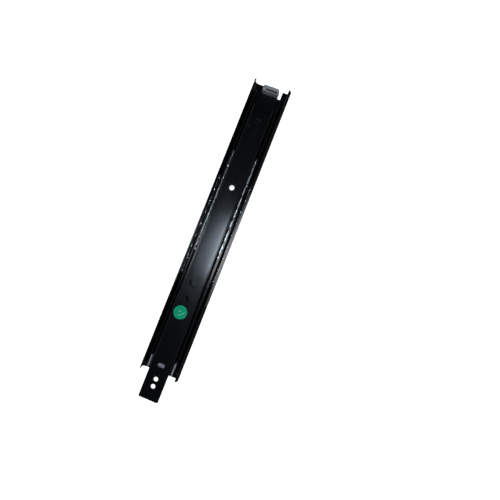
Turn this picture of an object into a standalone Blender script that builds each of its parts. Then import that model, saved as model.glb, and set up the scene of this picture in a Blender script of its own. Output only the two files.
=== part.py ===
"""Full-extension ball-bearing drawer slide, lying on its back with the drawer side up.

The rails run along X with the drawer's front at +X, Y is across the rails and Z is up.
The origin is the middle of the cabinet member's back face, where it is screwed to a cabinet.
"""
import math

import bmesh
import bpy
from mathutils import Vector

MM = 0.001

# Overall sizes
LENGTH = 350 * MM           # cabinet member, and the closed slide
WIDTH = 45 * MM             # over the cabinet member's flanges
DEPTH = 12.7 * MM           # cabinet member's back to the drawer member's face
PULLED_OUT = 28 * MM        # how far the drawer member stands out at rest
REAR = -LENGTH / 2
FRONT = LENGTH / 2

# Sheet thicknesses and fits
CABINET_SHEET = 1.2 * MM
MIDDLE_SHEET = 1.0 * MM
DRAWER_SHEET = 1.2 * MM
CAGE_SHEET = 0.5 * MM
FIT = 0.35 * MM             # between flat faces that pass or rest on each other
WELD = 0.02 * MM            # corners closer than this are one
RUNNING = 0.15 * MM         # between a ball and its race
POCKET = 0.25 * MM          # between a ball and its cage

# Balls and cages
BALL = 2.0 * MM             # radius
BALL_COUNT = 9              # in each of the four rows
BALL_PITCH = 14.0 * MM
CAGE_END = 4.35 * MM        # from the last ball to the end of its cage
CAGE_LENGTH = (BALL_COUNT - 1) * BALL_PITCH + 2 * CAGE_END
CAGE_BRIDGE = 6.0 * MM      # strap across each end of a cage
CAGE_RISE = BALL - 0.1 * MM  # from the ball centres to the top edge of the cage
OUTER_CAGE_SHELF = 5.0 * MM  # floor left between a cage's window and its balls
INNER_CAGE_SHELF = 3.2 * MM
OUTER_CAGE_BEND = 2.6 * MM  # radius between a cage's floor and its sides
INNER_CAGE_BEND = 1.2 * MM
OUTER_CAGE_REAR = REAR + 117.5 * MM
INNER_CAGE_REAR = REAR + 73.3 * MM

# Cross-section: races in the flanges
FLANGE_INSET = 0.6 * MM     # the cabinet flanges stay this far below the drawer face
FLANGE_RADIUS = (DEPTH - FLANGE_INSET) / 2
FLANGE_Y = WIDTH / 2 - FLANGE_RADIUS
FLANGE_LEAN = 31            # degrees that the top of the cabinet flange leans inwards
FLANGE_BOW = 11.1 * MM      # radius of that upper part, at the middle of its sheet
OUTER_BALL_Z = 5.2 * MM
OUTER_BALL_Y = FLANGE_Y + math.sqrt((FLANGE_RADIUS - CABINET_SHEET - BALL - RUNNING) ** 2
                                    - (FLANGE_RADIUS - OUTER_BALL_Z) ** 2)
RACE_LEAN = 25              # degrees from one ball row up to the other
MIDDLE_RACE = BALL + RUNNING + MIDDLE_SHEET / 2
INNER_BALL_Y = OUTER_BALL_Y - 2 * MIDDLE_RACE * math.cos(math.radians(RACE_LEAN))
INNER_BALL_Z = OUTER_BALL_Z + 2 * MIDDLE_RACE * math.sin(math.radians(RACE_LEAN))
DRAWER_RACE = BALL + RUNNING + DRAWER_SHEET / 2
DRAWER_FLANGE_Y = INNER_BALL_Y - DRAWER_RACE + 0.15 * MM
DRAWER_LIP = 1.0 * MM
DRAWER_LIP_LEAN = math.radians(30)
DRAWER_LIP_Y = (INNER_BALL_Y - DRAWER_RACE * math.cos(DRAWER_LIP_LEAN)
                + DRAWER_LIP * math.sin(DRAWER_LIP_LEAN))

# Levels of the webs, each at the middle of its sheet
CABINET_WEB = CABINET_SHEET / 2
OUTER_CAGE_WEB = CABINET_SHEET + FIT + CAGE_SHEET / 2
MIDDLE_WEB = OUTER_CAGE_WEB + CAGE_SHEET / 2 + FIT + MIDDLE_SHEET / 2
MIDDLE_TOP = MIDDLE_WEB + MIDDLE_SHEET / 2
INNER_CAGE_WEB = MIDDLE_TOP + FIT + CAGE_SHEET / 2
DRAWER_WEB = DEPTH - DRAWER_SHEET / 2
DRAWER_UNDER = DEPTH - DRAWER_SHEET

# Middle member
MIDDLE_REAR = REAR + 12 * MM
MIDDLE_FRONT = FRONT - 3.8 * MM
MIDDLE_LIP = 0.8 * MM

# Drawer member
PRONG_REAR = REAR + 1 * MM          # rear ends of its flanges
DRAWER_WEB_REAR = REAR + 10.3 * MM
DRAWER_SHOULDER = 1.8 * MM          # bend radius between web and flange
DRAWER_KNEE = 0.4 * MM              # straight between the shoulder's run and the race
TONGUE_LENGTH = 34 * MM
TONGUE_HALF = DRAWER_FLANGE_Y - 0.15 * MM
TONGUE_ROOT = 1.0 * MM              # how far its flat plate reaches back between the flanges
PRONG_INSIDE = DRAWER_FLANGE_Y - 1.5 * MM
TONGUE_CORNER = 1.5 * MM
SCREW_HOLE = 2.6 * MM               # radius of the two tongue holes
SCREW_HOLES = (FRONT - 15.15 * MM, FRONT - 23.35 * MM)
ACCESS_HOLE = 2.95 * MM             # radius of the driver hole in the drawer member
ACCESS_X = REAR + 100.5 * MM
CROSS_SLOT_X = FRONT - 39 * MM
SMALL_HOLE_X = FRONT - 116.6 * MM
OVAL_SLOT_X = FRONT - 134 * MM
PRESSED_MARKS = (                   # place from the rear, place across, half length and half width, in mm
    ("bar_1", 17.0, 0.0, 0.7, 3.4),
    ("bar_2", 21.0, 0.0, 0.7, 2.6),
    ("pip_1", 26.6, -8.5, 1.1, 1.1),
    ("pip_2", 34.5, 0.0, 1.5, 1.5),
)
PRESSED_HEIGHT = 0.35 * MM

# Cabinet screws, and the windows over them that let a driver through
REAR_SCREW_X = REAR + 46 * MM
MIDDLE_SCREW_X = REAR + 228 * MM
FRONT_SCREW_X = FRONT - 22.5 * MM
SLOT_LONG = 4.0 * MM                # half length of a screw slot
SLOT_WIDE = 2.3 * MM                # half width
FRONT_SCREW = 4.5 * MM              # radius
WINDOW_X = ACCESS_X + 14 * MM
WINDOW_LONG = 24 * MM
WINDOW_WIDE = 5 * MM

# Fingers lanced from the cabinet member's bends: x ranges, and y ranges from the outer balls' centres
LANCE_WINDOW = (FRONT - 5.2 * MM, FRONT - 4.0 * MM)
LANCE_WINDOW_SIDES = (-1.4 * MM, -0.2 * MM)
LANCE = (FRONT - 6.6 * MM, FRONT - 5.4 * MM)
LANCE_SIDES = (-1.2 * MM, 0.2 * MM)
LANCE_FOOT = 1.3 * MM
LANCE_TOP = 4.2 * MM

# Rear buffer and the tab it sits on
BUFFER_WALL = 1.2 * MM              # in front of the tab and on both sides of it
BUFFER_BACK = 4.0 * MM              # behind the tab
BUFFER_CORNER = 1.6 * MM
TAB_REAR = REAR + 7.4 * MM
TAB_LEFT = -(PRONG_INSIDE - 2 * FIT - BUFFER_WALL)
TAB_RIGHT = -TAB_LEFT - 0.4 * MM
BUFFER_TOP = DEPTH - 1.0 * MM
TAB_TOP = BUFFER_TOP - 2 * MM
CATCH_LEFT = TAB_LEFT + 3.3 * MM    # the part of the tab that shows in the buffer's top
CATCH_RIGHT = TAB_RIGHT - 0.35 * MM
CATCH_TOP = BUFFER_TOP - 0.4 * MM
NOTCH_RIGHT = FLANGE_Y - 3.85 * MM
NOTCH_DEPTH = 9.6 * MM

# Front guide in the middle member
GUIDE_LENGTH = 13.8 * MM
GUIDE_ARM_IN = DRAWER_LIP_Y + DRAWER_SHEET / 2 * math.cos(DRAWER_LIP_LEAN) + FIT
GUIDE_ARM_OUT = INNER_BALL_Y + 0.7 * MM
GUIDE_ARM_TOP = INNER_BALL_Z + 3.4 * MM
GUIDE_PAD = DRAWER_FLANGE_Y - 3.2 * MM
GUIDE_PEG = 1.8 * MM
GUIDE_CLEAR = 1.4 * MM              # between its pad and the drawer web
GUIDE_FLOOR = 0.8 * MM

# Round inspection sticker, a fraction clear of the drawer web
STICKER_X = FRONT - 100 * MM
STICKER_Y = -2.0 * MM
STICKER = 7.65 * MM                 # radius
STICKER_GAP = 0.15 * MM
STICKER_SHEET = 0.15 * MM


def material(name, colour, roughness, metallic):
    finish = bpy.data.materials.new(name)
    finish.use_nodes = True
    shader = finish.node_tree.nodes["Principled BSDF"]
    shader.inputs["Base Color"].default_value = (*colour, 1)
    shader.inputs["Roughness"].default_value = roughness
    shader.inputs["Metallic"].default_value = metallic
    return finish


def empty(name, x, parent=None):
    frame = bpy.data.objects.new(name, None)
    bpy.context.collection.objects.link(frame)
    frame.location.x = x
    frame.parent = parent
    return frame


def add(name, mesh, finish=None, parent=None):
    part = bpy.data.objects.new(name, mesh)
    bpy.context.collection.objects.link(part)
    part.parent = parent
    if finish:
        mesh.materials.append(finish)
    return part


def arc(centre, radius, start, end, steps):
    """Points on a circle in the YZ plane, from one angle in degrees to another."""
    angles = [math.radians(start + (end - start) * i / steps) for i in range(steps + 1)]
    return [(centre[0] + radius * math.cos(a), centre[1] + radius * math.sin(a)) for a in angles]


def bend(before, corner, after, radius, steps=4):
    """The round between two straight runs of sheet that meet at a corner."""
    corner = Vector(corner)
    one = (Vector(before) - corner).normalized()
    two = (Vector(after) - corner).normalized()
    half = one.angle(two) / 2
    centre = corner + (one + two).normalized() * radius / math.sin(half)
    first = corner + one * radius / math.tan(half) - centre
    last = corner + two * radius / math.tan(half) - centre
    turn = first.angle_signed(last)
    points = []
    for i in range(steps + 1):
        angle = -turn * i / steps
        points.append((centre.x + first.x * math.cos(angle) - first.y * math.sin(angle),
                       centre.y + first.x * math.sin(angle) + first.y * math.cos(angle)))
    return points


def sheet_mesh(name, half_line, thickness, start, end):
    """Folded sheet: a line from the web's first bend to a lip, mirrored, thickened and drawn along X."""
    line = [Vector((-y, z)) for y, z in reversed(half_line)] + [Vector(p) for p in half_line]
    upper, lower = [], []
    for i, point in enumerate(line):
        behind = (point - line[max(i - 1, 0)]).normalized()
        ahead = (line[min(i + 1, len(line) - 1)] - point).normalized()
        if i == len(line) - 1:
            ahead = behind
        if i == 0:
            behind = ahead
        along = (ahead + behind).normalized()
        side = Vector((-along.y, along.x)) * thickness / 2 / along.dot(ahead)
        upper.append(point + side)
        lower.append(point - side)
    return prism_mesh(name, lower + upper[::-1], start, end)


def prism_mesh(name, outline, start, end):
    """A YZ outline, counter-clockwise as seen from +X, drawn along X."""
    shape = bmesh.new()
    rear = [shape.verts.new((start, y, z)) for y, z in outline]
    front = [shape.verts.new((end, y, z)) for y, z in outline]
    count = len(outline)
    for i in range(count):
        j = (i + 1) % count
        shape.faces.new((rear[i], rear[j], front[j], front[i]))
    shape.faces.new(front)
    shape.faces.new(rear[::-1])
    bmesh.ops.recalc_face_normals(shape, faces=shape.faces)
    return finish_mesh(name, shape)


def plate_mesh(name, outline, low, high):
    """An XY outline drawn along Z."""
    shape = bmesh.new()
    bottom = [shape.verts.new((x, y, low)) for x, y in outline]
    top = [shape.verts.new((x, y, high)) for x, y in outline]
    count = len(outline)
    for i in range(count):
        j = (i + 1) % count
        shape.faces.new((bottom[i], bottom[j], top[j], top[i]))
    shape.faces.new(top)
    shape.faces.new(bottom[::-1])
    bmesh.ops.recalc_face_normals(shape, faces=shape.faces)
    return finish_mesh(name, shape)


def finish_mesh(name, shape):
    mesh = bpy.data.meshes.new(name)
    shape.to_mesh(mesh)
    shape.free()
    mesh.shade_smooth()
    mesh.set_sharp_from_angle(angle=math.radians(30))
    return mesh


def box_mesh(name, low, high):
    outline = [(low[0], low[1]), (high[0], low[1]), (high[0], high[1]), (low[0], high[1])]
    return plate_mesh(name, outline, low[2], high[2])


def slot_outline(x, y, half_x, half_y, steps=8):
    """A round-ended slot, or a circle when both halves are the same."""
    radius = min(half_x, half_y)
    outline = []
    for quarter in range(4):
        sign_x = 1 if quarter in (0, 3) else -1
        sign_y = 1 if quarter in (0, 1) else -1
        for i in range(steps // 2 + 1):
            angle = math.radians(90 * quarter + 90 * i / (steps // 2))
            point = (x + sign_x * (half_x - radius) + radius * math.cos(angle),
                     y + sign_y * (half_y - radius) + radius * math.sin(angle))
            if not outline or math.dist(point, outline[-1]) > 0.01 * MM:
                outline.append(point)
    if math.dist(outline[0], outline[-1]) < 0.01 * MM:
        outline.pop()
    return outline


def use(part, mesh, operation):
    """Cuts a helper shape from a part, or joins it on."""
    helper = add(f"{part.name}_{mesh.name}", mesh, parent=part.parent)
    helper.hide_render = True
    helper.display_type = "WIRE"
    change = part.modifiers.new(mesh.name, "BOOLEAN")
    change.operation = operation
    change.solver = "EXACT"
    change.object = helper


def cut(part, mesh):
    use(part, mesh, "DIFFERENCE")


def join(part, mesh):
    use(part, mesh, "UNION")


def cut_slot(part, name, x, y, half_x, half_y, low, high, steps=12):
    cut(part, plate_mesh(name, slot_outline(x, y, half_x, half_y, steps), low, high))


for old in list(bpy.data.objects):
    bpy.data.objects.remove(old)

black_steel = material("black_coated_steel", (0.012, 0.013, 0.015), 0.3, 0.4)
zinc_steel = material("zinc_plated_steel", (0.5, 0.5, 0.52), 0.35, 1.0)
ball_steel = material("ball_steel", (0.75, 0.75, 0.77), 0.12, 1.0)
grey_nylon = material("grey_nylon", (0.5, 0.51, 0.52), 0.5, 0.0)
green_label = material("green_label", (0.01, 0.3, 0.14), 0.45, 0.0)

cabinet_frame = empty("cabinet_frame", 0)
outer_cage_slide = empty("outer_cage_slide", 0, cabinet_frame)
middle_slide = empty("middle_slide", 0, cabinet_frame)
inner_cage_slide = empty("inner_cage_slide", PULLED_OUT / 2, middle_slide)
drawer_slide = empty("drawer_slide", PULLED_OUT, middle_slide)

BELOW = -1 * MM
ABOVE = DEPTH + 1 * MM


def build_cabinet_member():
    """Outer rail: a flat web and two flanges rolled round the outer balls."""
    flange = arc((FLANGE_Y, FLANGE_RADIUS), FLANGE_RADIUS - CABINET_SHEET / 2, -90, 0, 12)
    wall_y = WIDTH / 2 - CABINET_SHEET / 2
    flange += arc((wall_y - FLANGE_BOW, FLANGE_RADIUS), FLANGE_BOW, 0, FLANGE_LEAN, 6)[1:]
    member = add("cabinet_member", sheet_mesh("cabinet_member", flange, CABINET_SHEET, REAR, FRONT),
                 black_steel, cabinet_frame)
    web_top = CABINET_SHEET + 1 * MM

    # The rear of the web is notched, and its metal is folded up into a tab.
    notch_left = TAB_LEFT - BUFFER_WALL
    cut(member, box_mesh("notch", (REAR - 1 * MM, notch_left, BELOW), (TAB_REAR, NOTCH_RIGHT, web_top)))
    cut(member, box_mesh("notch_side", (REAR - 1 * MM, TAB_RIGHT + BUFFER_WALL, BELOW),
                         (REAR + NOTCH_DEPTH, NOTCH_RIGHT, web_top)))
    join(member, box_mesh("tab", (TAB_REAR, TAB_LEFT, CABINET_WEB),
                          (TAB_REAR + CABINET_SHEET, TAB_RIGHT, TAB_TOP)))
    join(member, box_mesh("tab_catch", (TAB_REAR, CATCH_LEFT, CABINET_SHEET),
                          (TAB_REAR + CABINET_SHEET, CATCH_RIGHT, CATCH_TOP)))

    # Screw holes, and a long window behind the driver hole of the drawer member.
    cut_slot(member, "rear_screw_slot", REAR_SCREW_X, 0, SLOT_LONG, SLOT_WIDE, BELOW, web_top, 8)
    cut_slot(member, "driver_window", WINDOW_X, 0, WINDOW_LONG, WINDOW_WIDE, BELOW, web_top)
    cut_slot(member, "middle_screw_slot", MIDDLE_SCREW_X, 0, SLOT_WIDE, SLOT_LONG, BELOW, web_top, 8)
    cut_slot(member, "front_screw_hole", FRONT_SCREW_X, 0, FRONT_SCREW, FRONT_SCREW, BELOW, web_top)

    # Near the front a finger is lanced from each bend and stops the outer cage.
    for side, name in ((-1, "left"), (1, "right")):
        edges = sorted(side * (OUTER_BALL_Y + edge) for edge in LANCE_WINDOW_SIDES)
        cut(member, box_mesh(f"lance_window_{name}", (LANCE_WINDOW[0], edges[0], BELOW),
                             (LANCE_WINDOW[1], edges[1], 3 * MM)))
        edges = sorted(side * (OUTER_BALL_Y + edge) for edge in LANCE_SIDES)
        join(member, box_mesh(f"lance_{name}", (LANCE[0], edges[0], LANCE_FOOT),
                              (LANCE[1], edges[1], LANCE_TOP)))

    # Corners that the cuts leave almost on top of each other are made one.
    weld = member.modifiers.new("weld", "WELD")
    weld.merge_threshold = WELD


def build_middle_member():
    """Intermediate rail: its S-shaped flanges carry the outer balls outside and the inner ones inside."""
    outer_ball = (OUTER_BALL_Y, OUTER_BALL_Z)
    inner_ball = (INNER_BALL_Y, INNER_BALL_Z)
    lower = arc(outer_ball, MIDDLE_RACE, 195, 180 - RACE_LEAN, 6)
    upper = arc(inner_ball, MIDDLE_RACE, -RACE_LEAN, 60, 11)
    slope = math.tan(math.radians(15))
    corner = (lower[0][0] + slope * (lower[0][1] - MIDDLE_WEB), MIDDLE_WEB)
    root = bend((0, MIDDLE_WEB), corner, lower[0], 1.0 * MM, 6)
    lean = math.radians(60)
    lip = (upper[-1][0] - MIDDLE_LIP * math.sin(lean), upper[-1][1] + MIDDLE_LIP * math.cos(lean))
    line = root + lower + upper[1:] + [lip]
    member = add("middle_member", sheet_mesh("middle_member", line, MIDDLE_SHEET, MIDDLE_REAR, MIDDLE_FRONT),
                 black_steel, middle_slide)
    under = MIDDLE_WEB - MIDDLE_SHEET
    over = MIDDLE_WEB + MIDDLE_SHEET

    # Windows that let a driver through to the cabinet member's screws, and the guide's peg hole.
    cut_slot(member, "driver_window", WINDOW_X, 0, WINDOW_LONG, WINDOW_WIDE + FIT, under, over)
    cut_slot(member, "rear_window", REAR_SCREW_X, 0, 2 * SLOT_LONG, SLOT_LONG, under, over, 8)
    cut_slot(member, "front_window", FRONT_SCREW_X, 0, FRONT_SCREW, FRONT_SCREW, under, over)
    peg_x = MIDDLE_FRONT - GUIDE_LENGTH / 2
    peg_hole = GUIDE_PEG + FIT
    cut_slot(member, "peg_hole", peg_x, 0, peg_hole, peg_hole, under, over, 8)
    join(member, plate_mesh("rear_pip", slot_outline(MIDDLE_REAR + 4 * MM, -1.3 * MM, 1.3 * MM, 1.3 * MM, 8),
                            MIDDLE_WEB, MIDDLE_TOP + 0.5 * MM))

    # The lips are cropped where the front guide stands.
    for side, name in ((-1, "left"), (1, "right")):
        edges = sorted((side * GUIDE_ARM_IN, side * (GUIDE_ARM_OUT + FIT)))
        cut(member, box_mesh(f"lip_crop_{name}", (MIDDLE_FRONT - GUIDE_LENGTH - FIT, edges[0], INNER_BALL_Z),
                             (MIDDLE_FRONT + 1 * MM, edges[1], ABOVE)))


def build_drawer_member():
    """Inner rail: its web is the face that screws to the drawer, and its tongue reaches forward."""
    inner_ball = (INNER_BALL_Y, INNER_BALL_Z)
    race = arc(inner_ball, DRAWER_RACE, 150, 210, 8)
    lean = DRAWER_LIP_LEAN
    lip = (DRAWER_LIP_Y, race[-1][1] - DRAWER_LIP * math.cos(lean))
    knee = (race[0][0] + DRAWER_KNEE * math.sin(lean), race[0][1] + DRAWER_KNEE * math.cos(lean))
    shoulder = bend((0, DRAWER_WEB), (DRAWER_FLANGE_Y, DRAWER_WEB), knee, DRAWER_SHOULDER, 8)
    line = shoulder + [knee] + race + [lip]
    member = add("drawer_member", sheet_mesh("drawer_member", line, DRAWER_SHEET, PRONG_REAR, FRONT),
                 black_steel, drawer_slide)
    under = DRAWER_UNDER - 1 * MM

    # The web is cut back between the flanges, which pass on either side of the buffer.
    cut(member, box_mesh("web_rear", (REAR, -PRONG_INSIDE, under), (DRAWER_WEB_REAR, PRONG_INSIDE, ABOVE)))

    # The flanges end behind the tongue, which is flat right across and has rounded front corners.
    flat = DRAWER_FLANGE_Y - DRAWER_SHOULDER - 1 * MM
    for side, name in ((-1, "left"), (1, "right")):
        edges = sorted((side * flat, side * WIDTH / 2))
        cut(member, box_mesh(f"flange_end_{name}", (FRONT - TONGUE_LENGTH, edges[0], 0),
                             (FRONT + 1 * MM, edges[1], ABOVE)))
    join(member, box_mesh("tongue", (FRONT - TONGUE_LENGTH - TONGUE_ROOT, -TONGUE_HALF, DRAWER_UNDER),
                          (FRONT, TONGUE_HALF, DEPTH)))
    for side, name in ((-1, "left"), (1, "right")):
        edge = side * TONGUE_HALF
        inside = edge - side * TONGUE_CORNER
        start = FRONT - TONGUE_CORNER
        outline = [(start + TONGUE_CORNER * math.sin(math.radians(15 * i)),
                    inside + side * TONGUE_CORNER * math.cos(math.radians(15 * i))) for i in range(7)]
        outline += [(FRONT + 1 * MM, inside), (FRONT + 1 * MM, edge + side * MM), (start, edge + side * MM)]
        cut(member, plate_mesh(f"corner_{name}", outline, under, ABOVE))

    for i, x in enumerate(SCREW_HOLES):
        cut_slot(member, f"screw_hole_{i + 1}", x, 0, SCREW_HOLE, SCREW_HOLE, under, ABOVE, 16)
    cut_slot(member, "cross_slot", CROSS_SLOT_X, 0, 2.25 * MM, 4.15 * MM, under, ABOVE)
    cut_slot(member, "small_hole", SMALL_HOLE_X, 0, 2.5 * MM, 2.5 * MM, under, ABOVE, 12)
    cut_slot(member, "oval_slot", OVAL_SLOT_X, 0, 3.4 * MM, 5.4 * MM, under, ABOVE)
    cut_slot(member, "access_hole", ACCESS_X, 0, ACCESS_HOLE, ACCESS_HOLE, under, ABOVE, 20)

    # Pressed marks near the rear stand a little proud of the web.
    for name, x, y, half_x, half_y in PRESSED_MARKS:
        outline = slot_outline(REAR + x * MM, y * MM, half_x * MM, half_y * MM, 8)
        join(member, plate_mesh(name, outline, DRAWER_WEB, DEPTH + PRESSED_HEIGHT))


def build_cage(name, parent, web, ball_y, ball_z, rear, bend_radius, shelf):
    """Ball cage: a folded strip whose upright sides hold the balls, open between its two end straps."""
    top = ball_z + CAGE_RISE
    root = bend((0, web), (ball_y, web), (ball_y, top), bend_radius)
    cage = add(name, sheet_mesh(name, root + [(ball_y, top)], CAGE_SHEET, rear, rear + CAGE_LENGTH),
               zinc_steel, parent)
    cut(cage, box_mesh("window", (rear + CAGE_BRIDGE, shelf - ball_y, BELOW),
                       (rear + CAGE_LENGTH - CAGE_BRIDGE, ball_y - shelf, ball_z)))
    pockets = bmesh.new()
    sides = 16
    for i in range(BALL_COUNT):
        x = rear + CAGE_END + i * BALL_PITCH
        rings = []
        for y in (-WIDTH / 2, WIDTH / 2):
            ring = []
            for k in range(sides):
                angle = 2 * math.pi * (k + 0.5) / sides
                ring.append(pockets.verts.new((x + (BALL + POCKET) * math.sin(angle), y,
                                               ball_z + (BALL + POCKET) * math.cos(angle))))
            rings.append(ring)
        for k in range(sides):
            n = (k + 1) % sides
            pockets.faces.new((rings[0][k], rings[0][n], rings[1][n], rings[1][k]))
        pockets.faces.new(rings[0])
        pockets.faces.new(rings[1][::-1])
    bmesh.ops.recalc_face_normals(pockets, faces=pockets.faces)
    cut(cage, finish_mesh("pockets", pockets))


def build_balls(row, parent, ball_y, ball_z, rear):
    """A row of balls on each side, sharing one mesh."""
    ball = bmesh.new()
    bmesh.ops.create_icosphere(ball, subdivisions=2, radius=BALL)
    mesh = bpy.data.meshes.new(f"{row}_ball")
    ball.to_mesh(mesh)
    ball.free()
    mesh.shade_smooth()
    mesh.materials.append(ball_steel)
    for side, word in ((-1, "left"), (1, "right")):
        for i in range(BALL_COUNT):
            piece = add(f"{row}_ball_{word}_{i + 1}", mesh, parent=parent)
            piece.location = (rear + CAGE_END + i * BALL_PITCH, side * ball_y, ball_z)


def build_rear_buffer():
    """Moulded cap pushed over the cabinet member's tab; the closing drawer member lands on it."""
    low = (TAB_REAR - BUFFER_BACK - FIT / 2, TAB_LEFT - BUFFER_WALL, CABINET_SHEET + FIT)
    high = (TAB_REAR + CABINET_SHEET + BUFFER_WALL + FIT / 2, TAB_RIGHT + BUFFER_WALL, BUFFER_TOP)
    corner = BUFFER_CORNER
    outline = [(low[1], low[2]), (high[1], low[2])]
    outline += arc((high[1] - corner, high[2] - corner), corner, 0, 90, 4)
    outline += arc((low[1] + corner, high[2] - corner), corner, 90, 180, 4)
    buffer = add("rear_buffer", prism_mesh("rear_buffer", outline, low[0], high[0]),
                 grey_nylon, cabinet_frame)
    cut(buffer, box_mesh("pocket", (TAB_REAR - FIT, TAB_LEFT - FIT, 0),
                         (TAB_REAR + CABINET_SHEET + FIT, TAB_RIGHT + FIT, TAB_TOP + FIT)))
    cut(buffer, box_mesh("catch_slot", (TAB_REAR - FIT, CATCH_LEFT - FIT, TAB_TOP),
                         (TAB_REAR + CABINET_SHEET + FIT, CATCH_RIGHT + FIT, DEPTH)))
    # A shallow groove runs across the landing face, below the top edge.
    cut(buffer, box_mesh("groove", (high[0] - 0.4 * MM, low[1] + 2 * MM, BUFFER_TOP - 3.4 * MM),
                         (high[0] + 1 * MM, high[1] - 2 * MM, BUFFER_TOP - 2.8 * MM)))


def build_front_guide():
    """Moulded guide pegged into the middle member: a floor, a pad under the drawer web, and two arms."""
    floor = MIDDLE_TOP + FIT
    floor_top = floor + GUIDE_FLOOR
    pad_top = DRAWER_UNDER - GUIDE_CLEAR
    arm_root = INNER_BALL_Y + 0.3 * MM
    arm_ledge = INNER_BALL_Z - 0.5 * MM
    half = [(GUIDE_PAD, pad_top), (GUIDE_PAD, floor_top), (GUIDE_ARM_IN, floor_top),
            (GUIDE_ARM_IN, GUIDE_ARM_TOP), (GUIDE_ARM_OUT, GUIDE_ARM_TOP), (GUIDE_ARM_OUT, arm_ledge),
            (arm_root, arm_ledge - 1 * MM), (arm_root, floor)]
    outline = half + [(-y, z) for y, z in reversed(half)]
    rear = MIDDLE_FRONT - GUIDE_LENGTH
    guide = add("front_guide", prism_mesh("front_guide", outline[::-1], rear, MIDDLE_FRONT),
                grey_nylon, middle_slide)
    peg = slot_outline(rear + GUIDE_LENGTH / 2, 0, GUIDE_PEG, GUIDE_PEG, 8)
    join(guide, plate_mesh("peg", peg, MIDDLE_WEB - MIDDLE_SHEET / 2, floor + GUIDE_FLOOR / 2))


def build_sticker():
    """Round inspection sticker on the drawer member's web."""
    outline = slot_outline(STICKER_X, STICKER_Y, STICKER, STICKER, 32)
    low = DEPTH + STICKER_GAP
    add("inspection_sticker", plate_mesh("inspection_sticker", outline, low, low + STICKER_SHEET),
        green_label, drawer_slide)


build_cabinet_member()
build_middle_member()
build_drawer_member()
build_cage("outer_ball_cage", outer_cage_slide, OUTER_CAGE_WEB, OUTER_BALL_Y, OUTER_BALL_Z,
           OUTER_CAGE_REAR, OUTER_CAGE_BEND, OUTER_CAGE_SHELF)
build_cage("inner_ball_cage", inner_cage_slide, INNER_CAGE_WEB, INNER_BALL_Y, INNER_BALL_Z,
           INNER_CAGE_REAR, INNER_CAGE_BEND, INNER_CAGE_SHELF)
build_balls("outer", outer_cage_slide, OUTER_BALL_Y, OUTER_BALL_Z, OUTER_CAGE_REAR)
build_balls("inner", inner_cage_slide, INNER_BALL_Y, INNER_BALL_Z, INNER_CAGE_REAR)
build_rear_buffer()
build_front_guide()
build_sticker()
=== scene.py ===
import math

import bmesh
import bpy
import numpy as np
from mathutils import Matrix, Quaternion, Vector


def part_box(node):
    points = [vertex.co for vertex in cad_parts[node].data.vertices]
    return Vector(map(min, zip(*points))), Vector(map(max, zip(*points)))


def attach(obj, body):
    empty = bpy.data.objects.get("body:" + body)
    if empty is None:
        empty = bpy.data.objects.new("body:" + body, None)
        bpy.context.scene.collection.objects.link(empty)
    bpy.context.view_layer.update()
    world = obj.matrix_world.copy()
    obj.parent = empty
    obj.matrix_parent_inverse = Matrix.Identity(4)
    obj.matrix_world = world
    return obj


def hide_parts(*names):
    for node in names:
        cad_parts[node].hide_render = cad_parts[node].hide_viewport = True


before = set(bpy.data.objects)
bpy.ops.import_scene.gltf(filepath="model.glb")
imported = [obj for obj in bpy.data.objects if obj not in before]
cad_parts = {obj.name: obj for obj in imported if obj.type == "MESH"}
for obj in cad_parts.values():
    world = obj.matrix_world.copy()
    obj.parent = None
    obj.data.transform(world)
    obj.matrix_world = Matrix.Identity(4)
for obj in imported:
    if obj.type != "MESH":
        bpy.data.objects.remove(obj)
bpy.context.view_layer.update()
MM = 0.001

# ---------------------------------------------------------------- Studio
# The slide lies on its back on a white sweep that curves up into a wall all round. One narrow
# softbox overhead shows as a band across the webs, and two broad ones stand to the sides.
CAMERA_AT = Vector((30.10, 68.30, 387.59)) * MM
CAMERA_AIM = Vector((10.76, 43.72, 0.0)) * MM
CAMERA_ROLL = math.radians(-30.59)
CAMERA_LENS = 24.54
SWEEP_FLAT = 2.4
SWEEP_CURVE = 1.2
SWEEP_HEIGHT = 2.6
SWEEP_SIDES = 96
SWEEP_GAP = 0.05 * MM

camera = bpy.data.objects.new("camera", bpy.data.cameras.new("camera"))
bpy.context.collection.objects.link(camera)
camera.data.lens = CAMERA_LENS
camera.data.clip_start = 10 * MM
camera.location = CAMERA_AT
facing = (CAMERA_AIM - CAMERA_AT).to_track_quat("-Z", "Y")
camera.rotation_euler = (facing @ Quaternion((0, 0, 1), CAMERA_ROLL)).to_euler()
bpy.context.scene.camera = camera
bpy.context.scene.view_settings.view_transform = "Standard"


class Tone:
    """A number that varies over a surface. Arithmetic with it, on either side, adds Math nodes."""

    def __init__(self, shading, link):
        self.shading = shading
        self.link = link

    def math(self, operation, *terms):
        return self.shading.node("ShaderNodeMath", {"operation": operation}, dict(enumerate(terms)))

    def __add__(self, other):
        return self.math("ADD", self, other)

    def __radd__(self, other):
        return self.math("ADD", other, self)

    def __sub__(self, other):
        return self.math("SUBTRACT", self, other)

    def __rsub__(self, other):
        return self.math("SUBTRACT", other, self)

    def __mul__(self, other):
        return self.math("MULTIPLY", self, other)

    def __rmul__(self, other):
        return self.math("MULTIPLY", other, self)

    def __pow__(self, other):
        return self.math("POWER", self, other)

    def __abs__(self):
        return self.math("ABSOLUTE", self)

    def between(self, low, high):
        """0 at low and 1 at high, with a smooth step from one to the other."""
        return self.shading.node("ShaderNodeMapRange", {"interpolation_type": "SMOOTHSTEP"},
                                 {"Value": self, "From Min": low, "From Max": high})


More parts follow.
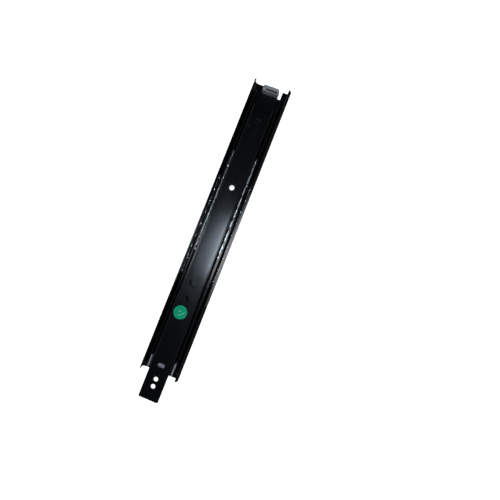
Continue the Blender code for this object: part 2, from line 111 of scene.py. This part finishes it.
class Shading:
    """A node tree that is built up node by node, for a finish or for the room."""

    def __init__(self, tree):
        self.tree = tree

    def node(self, kind, settings=None, sockets=None, output=0):
        """Adds a node: its settings first, then the numbers or links of its sockets."""
        made = self.tree.nodes.new(kind)
        for name, value in (settings or {}).items():
            if name == "stops":
                self.set_stops(made.color_ramp.elements, value)
            else:
                setattr(made, name, value)
        for name, value in (sockets or {}).items():
            if isinstance(value, Tone):
                self.tree.links.new(value.link, made.inputs[name])
            else:
                made.inputs[name].default_value = value
        return Tone(self, made.outputs[output])

    def set_stops(self, elements, stops):
        """Gives a ramp these stops, each a place and a colour."""
        while len(elements) < len(stops):
            elements.new(0.5)
        for element, (place, colour) in zip(elements, stops):
            element.position = place
            element.color = colour

    def axes(self, place):
        """The three coordinates of a place, or the three channels of a colour, as numbers."""
        first = self.node("ShaderNodeSeparateXYZ", {}, {"Vector": place})
        return [Tone(self, link) for link in first.link.node.outputs]


class Finish(Shading):
    """A material as it is put together. What is the same all over is set straight on its shader."""

    def __init__(self, name, **same_all_over):
        self.material = bpy.data.materials.new(name)
        self.material.use_nodes = True
        super().__init__(self.material.node_tree)
        self.shader = self.tree.nodes["Principled BSDF"]
        for words, value in same_all_over.items():
            self.shader.inputs[words.replace("_", " ")].default_value = value
        self.place = self.node("ShaderNodeTexCoord", output="Object")

    def stretched(self, x, y, z):
        """Object coordinates scaled along each axis, so a pattern can run along the rail."""
        return self.node("ShaderNodeVectorMath", {"operation": "MULTIPLY"},
                         {0: self.place, 1: (x, y, z)})

    def noise(self, scale, detail=2.0, place=None):
        return self.node("ShaderNodeTexNoise", {},
                         {"Vector": place or self.place, "Scale": scale, "Detail": detail})

    def cells(self, scale, output="Distance"):
        """Scattered points: the distance to the nearest one, or the random colour of its cell."""
        return self.node("ShaderNodeTexVoronoi", {}, {"Vector": self.place, "Scale": scale}, output)

    def mix(self, factor, first, second):
        """One colour turning into another as the factor goes from 0 to 1."""
        return self.node("ShaderNodeMix", {"data_type": "RGBA"},
                         {"Factor": factor, 6: first, 7: second}, output=2)

    def feed(self, **links):
        for words, value in links.items():
            self.tree.links.new(value.link, self.shader.inputs[words.replace("_", " ")])
        return self.material

    def bump(self, height, distance, strength=1.0):
        return self.node("ShaderNodeBump", {},
                         {"Height": height, "Distance": distance, "Strength": strength})


def grid_faces(rows, columns, wrap_columns=False):
    """Four-sided faces between neighbours in a grid of points that is numbered row by row."""
    row = np.arange(rows - 1)
    column = np.arange(columns if wrap_columns else columns - 1)
    row, column = (a.ravel() for a in np.meshgrid(row, column, indexing="ij"))
    beside = (column + 1) % columns
    return np.stack([row * columns + column, row * columns + beside,
                     (row + 1) * columns + beside, (row + 1) * columns + column], axis=1)


def surface(name, points, faces, material, smooth=40.0, caps=()):
    """A mesh from arrays of points and faces, with its doubles merged and its normals outwards."""
    mesh = bpy.data.meshes.new(name)
    mesh.from_pydata(points.reshape(-1, 3).tolist(), [], faces.tolist() + [list(cap) for cap in caps])
    shape = bmesh.new()
    shape.from_mesh(mesh)
    bmesh.ops.remove_doubles(shape, verts=shape.verts, dist=1e-7)
    bmesh.ops.recalc_face_normals(shape, faces=shape.faces)
    shape.to_mesh(mesh)
    shape.free()
    mesh.shade_smooth()
    mesh.set_sharp_from_angle(angle=math.radians(smooth))
    mesh.materials.append(material)
    made = bpy.data.objects.new(name, mesh)
    bpy.context.collection.objects.link(made)
    return made


def sweep_surface():
    """A flat disc that turns up into a wall: radius and height come from the distance run outwards."""
    turn = SWEEP_CURVE * math.pi / 2
    run = np.concatenate([np.linspace(0, SWEEP_FLAT, 13), SWEEP_FLAT + turn * np.arange(1, 17) / 16,
                          [SWEEP_FLAT + turn + SWEEP_HEIGHT]])
    bend = np.clip(run - SWEEP_FLAT, 0, turn) / SWEEP_CURVE
    radius = np.minimum(run, SWEEP_FLAT) + SWEEP_CURVE * np.sin(bend)
    height = SWEEP_CURVE * (1 - np.cos(bend)) + np.maximum(run - SWEEP_FLAT - turn, 0) - SWEEP_GAP
    angle = np.linspace(0, 2 * np.pi, SWEEP_SIDES + 1)[:-1]
    points = np.stack([radius[:, None] * np.cos(angle), radius[:, None] * np.sin(angle),
                       np.repeat(height[:, None], SWEEP_SIDES, axis=1)], axis=2)
    return points, grid_faces(len(run), SWEEP_SIDES, wrap_columns=True)


white = Finish("sweep_white", Roughness=0.95, Specular_IOR_Level=0.0, Emission_Strength=0.86)
grain = white.noise(30.0)
white.feed(Base_Color=white.mix(grain, (0.78, 0.78, 0.78, 1), (0.84, 0.84, 0.84, 1)))
white.shader.inputs["Emission Color"].default_value = (1, 1, 1, 1)
sweep = surface("sweep", *sweep_surface(), white.material)
sweep.visible_glossy = sweep.visible_diffuse = False


def softbox(name, at, tilt, size, radiance, colour):
    """A rectangle of even radiance. It faces down, turned about the slide's length by its tilt."""
    light = bpy.data.lights.new(name, "AREA")
    light.shape = "RECTANGLE"
    light.size, light.size_y = size
    light.energy = radiance * math.pi * size[0] * size[1]
    light.color = colour
    lamp = bpy.data.objects.new(name, light)
    bpy.context.collection.objects.link(lamp)
    lamp.location = at
    lamp.rotation_euler.x = math.radians(tilt)


softbox("overhead", (0.0, 0.04, 1.2), 0, (0.24, 0.42), 19.2, (0.70, 0.84, 1.0))
softbox("side_right", (0.015, 1.1, 0.7), -58, (0.24, 0.5), 9.0, (1, 1, 1))
softbox("side_left", (0.015, -1.1, 0.7), 58, (0.24, 0.5), 9.0, (1, 1, 1))


def bounce_card(name, y_range, radiance):
    """A glowing card on the sweep beside the slide's middle, seen only as a reflection in the flanges.

    It is a flat grid, and its glow fades out towards both ends of the slide.
    """
    x, y = np.meshgrid(np.linspace(-0.05, 0.09, 9), np.linspace(*y_range, 9), indexing="ij")
    card = Finish(name, Roughness=1.0, Emission_Strength=radiance)
    x_here = card.axes(card.place)[0]
    fade = x_here.between(-0.055, 0.0) * (1 - x_here.between(0.035, 0.095))
    card.feed(Emission_Color=card.mix(fade, (0, 0, 0, 1), (1, 1, 1, 1)))
    sheet = surface(name, np.stack([x, y, 0 * x], axis=2), grid_faces(9, 9), card.material)
    sheet.visible_camera = sheet.visible_diffuse = sheet.visible_shadow = False


bounce_card("bounce_right", (0.028, 0.30), 1.8)
bounce_card("bounce_left", (-0.30, -0.028), 1.0)

# The room beyond: dim overhead and underfoot, and paler round the horizon.
room = bpy.data.worlds.new("room")
bpy.context.scene.world = room
room.use_nodes = True
sky = Shading(room.node_tree)
direction = sky.node("ShaderNodeTexCoord", output="Generated")
height = sky.node("ShaderNodeMapRange", {}, {"Value": sky.axes(direction)[2], "From Min": -1.0})
levels = ((0.0, 0.03), (0.40, 0.06), (0.52, 0.35), (0.64, 0.30), (0.78, 0.05), (1.0, 0.015))
stops = [(at, (level, level, level * 1.05, 1)) for at, level in levels]
glow = sky.node("ShaderNodeValToRGB", {"stops": stops}, {"Fac": height})
sky.tree.links.new(glow.link, sky.tree.nodes["Background"].inputs["Color"])

# ---------------------------------------------------------------- Cabinet member
# Cold-rolled steel strip, 1.2 mm thick, pierced and roll-formed, then dipped and baked black.
# Its flanges close round the outer balls, and the balls leave a polished track in them.
SHEARED_EDGE = 0.14 * MM
PIERCED_EDGE = 0.08 * MM
DUST_CELLS = 620.0


def ball_row(name):
    """Radius and centre of the ball nodes of that row, from their boxes."""
    low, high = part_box(name)
    return (high.x - low.x) / 2, (low + high) / 2


BALL, OUTER_BALL = ball_row("outer_ball_right_1")
INNER_BALL = ball_row("inner_ball_right_1")[1]


def coated_steel(name, rows):
    """Black dip coat: orange peel over drawing lines, wiped-oil clouds, dust and a track under each row."""
    coat = Finish(name, Specular_IOR_Level=0.5)
    x, y, z = coat.axes(coat.place)
    drawn = coat.noise(1.0, 3.0, coat.stretched(18, 2600, 2600))
    peel = coat.noise(850.0, 1.0)
    cloud = coat.noise(1.0, 3.0, coat.stretched(22, 70, 70))
    chance = coat.axes(coat.cells(DUST_CELLS, "Color"))[0].between(0.86, 0.97)
    dust = (1 - coat.cells(DUST_CELLS).between(0.03, 0.13)) * chance
    track = None
    for centre in rows:
        gap = ((abs(y) - centre.y) ** 2.0 + (z - centre.z) ** 2.0) ** 0.5
        here = 1 - gap.between(BALL + 0.15 * MM, BALL + 0.45 * MM)
        track = here if track is None else track + here
    streak = track * drawn.between(0.35, 0.7)
    colour = coat.mix(dust * 0.3, (0.0028, 0.0030, 0.0036, 1), (0.12, 0.12, 0.13, 1))
    colour = coat.mix(streak * 0.35, colour, (0.10, 0.095, 0.085, 1))
    roughness = 0.12 + cloud * 0.08 + dust * 0.2 - track * 0.04
    height = drawn * 0.25 + peel * 0.6 + dust * 0.8
    return coat.feed(Base_Color=colour, Roughness=roughness, Normal=coat.bump(height, 0.012 * MM, 0.5))


def formed(name, node, body, material, edge, merge=0.08 * MM):
    """Stands for a CAD node: its triangles joined, its flat faces made whole and its edges rounded."""
    shape = bmesh.new()
    shape.from_mesh(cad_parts[node].data)
    bmesh.ops.remove_doubles(shape, verts=shape.verts, dist=merge)
    bmesh.ops.dissolve_limit(shape, angle_limit=math.radians(0.5), verts=shape.verts, edges=shape.edges)
    mesh = bpy.data.meshes.new(name)
    shape.to_mesh(mesh)
    shape.free()
    mesh.shade_smooth()
    mesh.materials.append(material)
    made = bpy.data.objects.new(name, mesh)
    bpy.context.collection.objects.link(made)
    rounding = made.modifiers.new("rounding", "BEVEL")
    rounding.width = edge
    rounding.segments = 2
    rounding.limit_method = "ANGLE"
    rounding.angle_limit = math.radians(30)
    rounding.use_clamp_overlap = False
    shading = made.modifiers.new("shading", "WEIGHTED_NORMAL")
    shading.keep_sharp = True
    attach(made, body)
    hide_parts(node)
    return made


formed("cabinet_rail", "cabinet_member", "cabinet",
       coated_steel("cabinet_coat", [OUTER_BALL]), SHEARED_EDGE)

# ---------------------------------------------------------------- Outer cage and its balls
# Zinc-plated strip, 0.5 mm thick, folded to a tray whose sides hold nine hardened balls each.
# The pockets are pierced and their rims pushed out, so that the balls can't drop through.
BALLS_A_SIDE = 9
POCKET_GAP = 0.25 * MM
CAGE_HALF = 0.25 * MM
COLLAR_HEIGHT = 0.45 * MM
COLLAR_WIDTH = 0.55 * MM


def zinc_plate(name, painted_brightness, grease):
    """Zinc over rolled strip: fine lines along it, faint clouding, and smears of grease over part of it.
    All its colours are scaled by a brightness, and a low one paints shade into the zinc.
    """
    zinc = Finish(name, Metallic=1.0)
    drawn = zinc.noise(1.0, 3.0, zinc.stretched(120, 3000, 1500))
    cloud = zinc.noise(260.0, 4.0)
    smear = zinc.noise(1.0, 4.0, zinc.stretched(160, 420, 420))
    smear = smear.between(0.60 - grease * 0.24, 0.74 - grease * 0.24)
    colour = zinc.mix(cloud.between(0.3, 0.7), (0.76 * painted_brightness, 0.77 * painted_brightness, 0.80 * painted_brightness, 1),
                      (0.97 * painted_brightness, 0.98 * painted_brightness, painted_brightness, 1))
    colour = zinc.mix(smear * 0.8, colour, (0.12 * painted_brightness, 0.115 * painted_brightness, 0.11 * painted_brightness, 1))
    return zinc.feed(Base_Color=colour, Roughness=0.22 + cloud * 0.16 + smear * 0.2,
                     Normal=zinc.bump(drawn * 0.6 + cloud * 0.6, 0.02 * MM, 0.6))


def ball_steel():
    """Ground and polished steel under a thin, uneven film of grease."""
    steel = Finish("ball_steel", Metallic=1.0)
    film = steel.noise(520.0, 4.0).between(0.42, 0.66)
    wipe = steel.noise(1.0, 3.0, steel.stretched(300, 1500, 1500))
    colour = steel.mix(film * 0.6, (0.82, 0.82, 0.83, 1), (0.34, 0.33, 0.31, 1))
    return steel.feed(Base_Color=colour, Roughness=0.07 + film * 0.22,
                      Normal=steel.bump(wipe * 0.4 + film, 0.01 * MM, 0.35))


# The outer cage's zinc is scaled to 0.30 brightness. This is painted shade for the cage that sits deep
# between the cabinet and middle members, and it adds to the darkening from its heavier grease.
OUTER_ZINC_PAINTED_DARK = zinc_plate("outer_cage_zinc_painted_dark", 0.30, 1.0)
BALL_STEEL = ball_steel()


def ball_grid(centre, radius, rings=20, around=36):
    """A sphere from its polar angle and the angle round the Z axis."""
    polar = np.linspace(0, np.pi, rings + 1)[:, None]
    turn = np.linspace(0, 2 * np.pi, around + 1)[None, :-1]
    sphere = np.stack(np.broadcast_arrays(np.sin(polar) * np.cos(turn), np.sin(polar) * np.sin(turn),
                                          np.cos(polar)), axis=2)
    return np.array(centre) + radius * sphere, grid_faces(rings + 1, around, wrap_columns=True)


def balls(row, body):
    """Every ball of a cage as its own piece."""
    for word in ("left", "right"):
        for i in range(1, BALLS_A_SIDE + 1):
            node = f"{row}_ball_{word}_{i}"
            radius, centre = ball_row(node)
            ball = surface(f"{node}_polished", *ball_grid(centre, radius), BALL_STEEL)
            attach(ball, body)
            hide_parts(node)


def collars(row, body, zinc):
    """Pushed-out pocket rims: a low rounded ridge round each ball's pocket, open at the cage's edge.

    Round the pocket runs an angle from one side of the open top to the other, and over the ridge
    runs a half circle, flattened to the rim's height and standing on both faces of the wall.
    """
    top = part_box(f"{row}_ball_cage")[1].z
    radius, first = ball_row(f"{row}_ball_right_1")
    pitch = ball_row(f"{row}_ball_right_2")[1].x - first.x
    mid = radius + POCKET_GAP + COLLAR_WIDTH / 2
    stations, ring = 33, 12
    open_half = math.acos(min((top - first.z) / mid, 0.99))
    angle = np.linspace(open_half, 2 * np.pi - open_half, stations)[:, None]
    section = np.linspace(0, 2 * np.pi, ring + 1)[None, :-1]
    reach = mid + COLLAR_WIDTH / 2 * np.cos(section)
    out = (CAGE_HALF + COLLAR_HEIGHT) * np.sin(section)
    one = np.stack(np.broadcast_arrays(reach * np.sin(angle), out + 0 * angle, reach * np.cos(angle)),
                   axis=2)
    faces = grid_faces(stations, ring, wrap_columns=True)
    points, quads, caps = [], [], []
    for side in (-1, 1):
        for i in range(BALLS_A_SIDE):
            start = len(points) * stations * ring
            end = start + stations * ring
            points.append(one + np.array((first.x + i * pitch, side * first.y, first.z)))
            quads.append(faces + start)
            caps += [range(start, start + ring), range(end - ring, end)]
    made = surface(f"{row}_cage_collars", np.stack(points), np.concatenate(quads), zinc, 50.0, caps)
    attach(made, body)


formed("outer_cage", "outer_ball_cage", "outer_cage", OUTER_ZINC_PAINTED_DARK, PIERCED_EDGE, 0.02 * MM)
collars("outer", "outer_cage", OUTER_ZINC_PAINTED_DARK)
balls("outer", "outer_cage")

# ---------------------------------------------------------------- Middle member
# Strip 1.0 mm thick, rolled to an S on each side: the outer balls run in its hollow flanks and
# the inner balls inside its lips. It is dipped like the cabinet member.
formed("middle_rail", "middle_member", "middle",
       coated_steel("middle_coat", [OUTER_BALL, INNER_BALL]), SHEARED_EDGE)

# ---------------------------------------------------------------- Front guide
# Grey nylon moulding pegged into the middle member. Its two arms steer the drawer member's
# flanges as the drawer is pushed home.
MOULDED_EDGE = 0.25 * MM


def moulded_nylon(name):
    """Grey nylon: a spark-eroded grain, faint flow marks and a little grime in scattered patches."""
    nylon = Finish(name, Specular_IOR_Level=0.45)
    grain = nylon.noise(2600.0, 2.0)
    flow = nylon.noise(1.0, 3.0, nylon.stretched(140, 240, 500))
    grime = nylon.noise(380.0, 4.0).between(0.5, 0.72)
    colour = nylon.mix(flow, (0.265, 0.265, 0.268, 1), (0.335, 0.336, 0.338, 1))
    colour = nylon.mix(grime * 0.5, colour, (0.15, 0.15, 0.15, 1))
    return nylon.feed(Base_Color=colour, Roughness=0.42 + grain * 0.14,
                      Normal=nylon.bump(grain * 0.6 + flow * 0.3, 0.03 * MM, 0.5))


NYLON = moulded_nylon("moulded_nylon")
formed("guide_moulding", "front_guide", "middle", NYLON, MOULDED_EDGE)

# ---------------------------------------------------------------- Inner cage and its balls
# Made like the outer one but narrower; its upright sides show between the drawer member's
# flanges and the middle member's lips.
# This zinc is scaled to 0.80 brightness. The outer cage's zinc is painted much darker, as shade.
INNER_ZINC = zinc_plate("inner_cage_zinc", 0.80, 0.45)
formed("inner_cage", "inner_ball_cage", "inner_cage", INNER_ZINC, PIERCED_EDGE, 0.02 * MM)
collars("inner", "inner_cage", INNER_ZINC)
balls("inner", "inner_cage")

# ---------------------------------------------------------------- Drawer member
# Strip 1.2 mm thick, folded down on both sides to run on the inner balls, with a tongue that
# reaches forward to the drawer front. Its web is the glossiest face of the slide.
formed("drawer_rail", "drawer_member", "drawer",
       coated_steel("drawer_coat", [INNER_BALL]), SHEARED_EDGE)

# ---------------------------------------------------------------- Rear buffer
# Nylon cap pushed over the tab that is folded up from the cabinet member. The closing drawer
# member lands on its ribbed face.
RIB_PITCH = 1.5 * MM
RIB_DEPTH = 0.32 * MM
RIB_ROOT = 0.3 * MM
formed("buffer_cap", "rear_buffer", "cabinet", NYLON, MOULDED_EDGE)


def ribbed_band(low_z, high_z):
    """A band of upright ribs on the landing face: a closed XZ loop carried across the slide.

    The loop runs up the outside and down the inside of the face. Its outside stands proud by a
    rounded square wave across the slide, which dies away towards the band's ends and edges.
    """
    low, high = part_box("rear_buffer")
    face = high.x
    across = np.linspace(low.y + 1.7 * MM, high.y - 1.7 * MM, 181)
    up = np.linspace(0, 1, 13)
    wave = 0.5 + 0.5 * np.tanh(2.2 * np.cos(2 * np.pi * (across - across.mean()) / RIB_PITCH))
    ends = np.minimum(np.minimum(across - across[0], across[-1] - across) / (0.5 * MM), 1)
    swell = np.minimum(np.sin(np.pi * up) * 3.0, 1)
    proud = 0.03 * MM + RIB_DEPTH * (wave * ends)[:, None] * swell[None, :]
    outside = np.stack(np.broadcast_arrays(face + proud, across[:, None], low_z + (high_z - low_z) * up),
                       axis=2)
    inside = outside[:, ::-1].copy()
    inside[:, :, 0] = face - RIB_ROOT
    loop = np.concatenate([outside, inside], axis=1)
    count = loop.shape[0] * loop.shape[1]
    caps = (range(loop.shape[1]), range(count - loop.shape[1], count))
    return loop, grid_faces(*loop.shape[:2], wrap_columns=True), caps


buffer_low, buffer_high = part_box("rear_buffer")
for name, low_z, high_z in (("buffer_ribs_upper", buffer_high.z - 2.6 * MM, buffer_high.z - 0.7 * MM),
                            ("buffer_ribs_lower", buffer_low.z + 1.0 * MM, buffer_high.z - 3.7 * MM)):
    points, faces, caps = ribbed_band(low_z, high_z)
    ribs = surface(name, points, faces, NYLON, 50.0, caps)
    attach(ribs, "cabinet")

# ---------------------------------------------------------------- Inspection sticker
# A round of green vinyl pressed onto the drawer member, its rim lifting a hair, with the
# inspector's pen mark on it: a curved dash and a short one, in pale ink.
STICKER_FILM = 0.08 * MM
STICKER_LIFT = 0.12 * MM
INK_FILM = 0.02 * MM
PEN_STROKES = (((3.7, -2.3), (3.4, 1.9), (-1.8, 4.4), 0.8), ((-1.1, -2.3), (-1.1, -1.0), (-0.6, 0.2), 1.0))
sticker_low, sticker_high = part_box("inspection_sticker")
sticker_middle = (sticker_low + sticker_high) / 2


def sticker_grid():
    """A disc from radius and angle; it lies flat and lifts slightly over the last of its radius."""
    rings, around = 25, 96
    radius = (sticker_high.x - sticker_low.x) / 2
    out = np.linspace(0, 1, rings)[:, None]
    turn = np.linspace(0, 2 * np.pi, around + 1)[None, :-1]
    lift = STICKER_LIFT * out ** 8 * (0.6 + 0.4 * np.sin(turn * 2 + 0.7))
    points = np.stack(np.broadcast_arrays(sticker_middle.x + radius * out * np.cos(turn),
                                          sticker_middle.y + radius * out * np.sin(turn),
                                          sticker_low.z + lift), axis=2)
    return points, grid_faces(rings, around, wrap_columns=True)


def green_vinyl():
    """Printed vinyl: faint mottling in the green, and a satin surface with small dimples."""
    vinyl = Finish("green_vinyl", Specular_IOR_Level=0.12)
    mottle = vinyl.noise(400.0, 3.0)
    dimple = vinyl.noise(1500.0, 1.0)
    colour = vinyl.mix(mottle, (0.001, 0.33, 0.155, 1), (0.004, 0.39, 0.185, 1))
    return vinyl.feed(Base_Color=colour, Roughness=0.38 + mottle * 0.14,
                      Normal=vinyl.bump(dimple, 0.02 * MM, 0.4))


sticker = surface("sticker_round", *sticker_grid(), green_vinyl())
thick = sticker.modifiers.new("thickness", "SOLIDIFY")
thick.thickness = STICKER_FILM
thick.offset = -1
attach(sticker, "drawer")
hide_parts("inspection_sticker")


def ink_stroke(start, bow, end, width):
    """A pen stroke: a parabola from start to end, pulled towards bow, whose width swells and thins out."""
    stations, columns = 41, 5
    t = np.linspace(0, 1, stations)[:, None]
    start, bow, end = (np.array(point) * MM for point in (start, bow, end))
    line = (1 - t) ** 2 * start + 2 * t * (1 - t) * bow + t ** 2 * end
    along = 2 * (1 - t) * (bow - start) + 2 * t * (end - bow)
    along /= np.linalg.norm(along, axis=1, keepdims=True)
    side = along[:, ::-1] * (-1, 1) * width * MM / 2 * (np.sin(np.pi * (0.06 + 0.88 * t)) ** 0.5)
    across = np.linspace(-1, 1, columns)
    flat = line[:, None, :] + side[:, None, :] * across[None, :, None]
    level = np.full(flat.shape[:2] + (1,), sticker_low.z + INK_FILM)
    points = np.concatenate([flat + (sticker_middle.x, sticker_middle.y), level], axis=2)
    return points, grid_faces(stations, columns)


def pale_ink():
    """Dried ink: thinner where the pen ran dry, and a little glossier than the vinyl."""
    ink = Finish("pale_ink", Specular_IOR_Level=0.4)
    dry = ink.noise(1.0, 3.0, ink.stretched(900, 900, 900))
    colour = ink.mix(dry, (0.10, 0.60, 0.42, 1), (0.22, 0.74, 0.56, 1))
    return ink.feed(Base_Color=colour, Roughness=0.3 + dry * 0.2)


INK = pale_ink()
for i, stroke in enumerate(PEN_STROKES):
    pen = surface(f"pen_stroke_{i + 1}", *ink_stroke(*stroke), INK)
    film = pen.modifiers.new("film", "SOLIDIFY")
    film.thickness = INK_FILM
    film.offset = 0
    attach(pen, "drawer")
